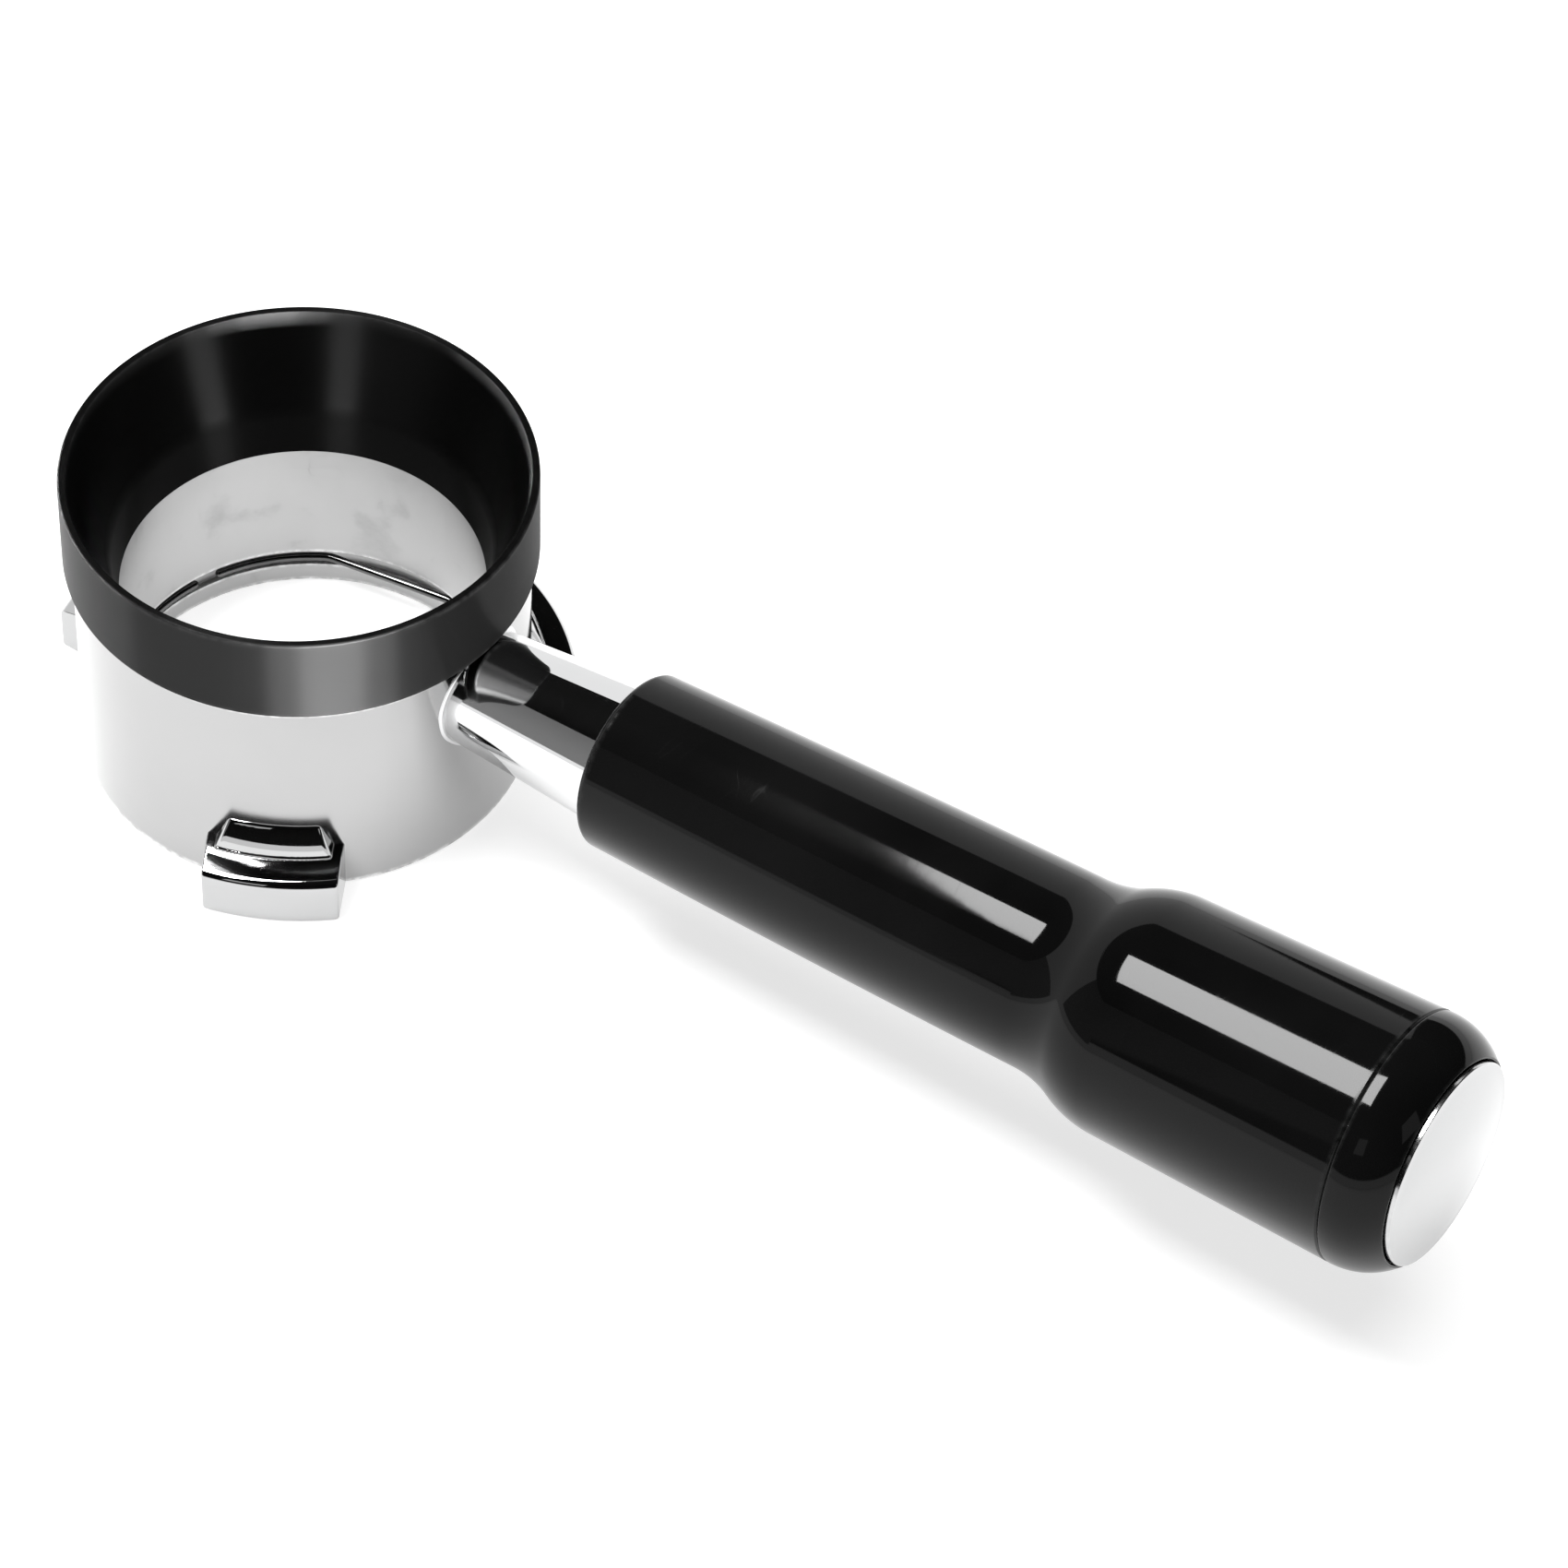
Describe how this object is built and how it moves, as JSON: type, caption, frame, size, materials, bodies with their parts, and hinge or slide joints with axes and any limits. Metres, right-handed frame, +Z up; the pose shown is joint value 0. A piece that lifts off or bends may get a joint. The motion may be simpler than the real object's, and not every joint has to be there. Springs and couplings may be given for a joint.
{
  "type": "portafilter",
  "caption": "Bottomless coffee portafilter: chromed ring body with bayonet lugs, flared black outlet ring, waisted black handle with chrome end cap.",
  "frame": {"origin": "centre of the lug rim's flat face, on the body's axis", "axes": "+Z up the body's axis from the lug rim to the outlet ring, +X along the handle; in use the part is turned over, with +Z down"},
  "size_m": [0.2215, 0.073, 0.052],
  "materials": {
    "chrome_body": "polished chrome outside, satin turned inside",
    "chrome_lug": "mirror chrome",
    "chrome_arm": "mirror chrome",
    "braze": "plated fillet",
    "spring_wire": "drawn stainless wire",
    "black_ring": "gloss black anodised, turned",
    "seal": "black silicone",
    "black_grip": "polished black",
    "chrome_cap": "mirror chrome",
    "brass": "turned",
    "steel": "zinc-plated"
  },
  "bodies": {
    "portafilter": {"body_shell": "chrome_body", "lug_front": "chrome_lug", "lug_right": "chrome_lug", "lug_left": "chrome_lug", "neck_arm": "chrome_arm", "neck_braze": "braze", "arm_bush": "brass", "anti_turn_pin": "steel", "grip": "black_grip", "grip_gasket": "seal", "tie_rod": "steel", "tie_washer": "steel", "lock_washer": "steel", "tie_nut": "steel", "end_collar": "black_grip", "end_cap": "chrome_cap", "cap_ring": "seal"},
    "seal": {"ring_seal": "seal"},
    "ring": {"outlet_ring": "black_ring"},
    "spring": {"basket_spring": "spring_wire"}
  },
  "joints": [
    {"name": "ring_lift", "type": "slide", "parent": "portafilter", "child": "seal", "axis": [0, 0, 1], "range_m": [0, 0.0076]},
    {"name": "ring_turn", "type": "hinge", "parent": "seal", "child": "ring", "pos_m": [0, 0, 0.04], "axis": [0, 0, 1], "range_deg": [0, 1800]},
    {"name": "spring_turn", "type": "hinge", "parent": "portafilter", "child": "spring", "pos_m": [0, 0, 0.00495], "axis": [0, 0, 1], "continuous": true}
  ],
  "couplings": [
    {"joint": "ring_lift", "follows": "ring_turn", "m_per_rad": 0.00023873}
  ]
}
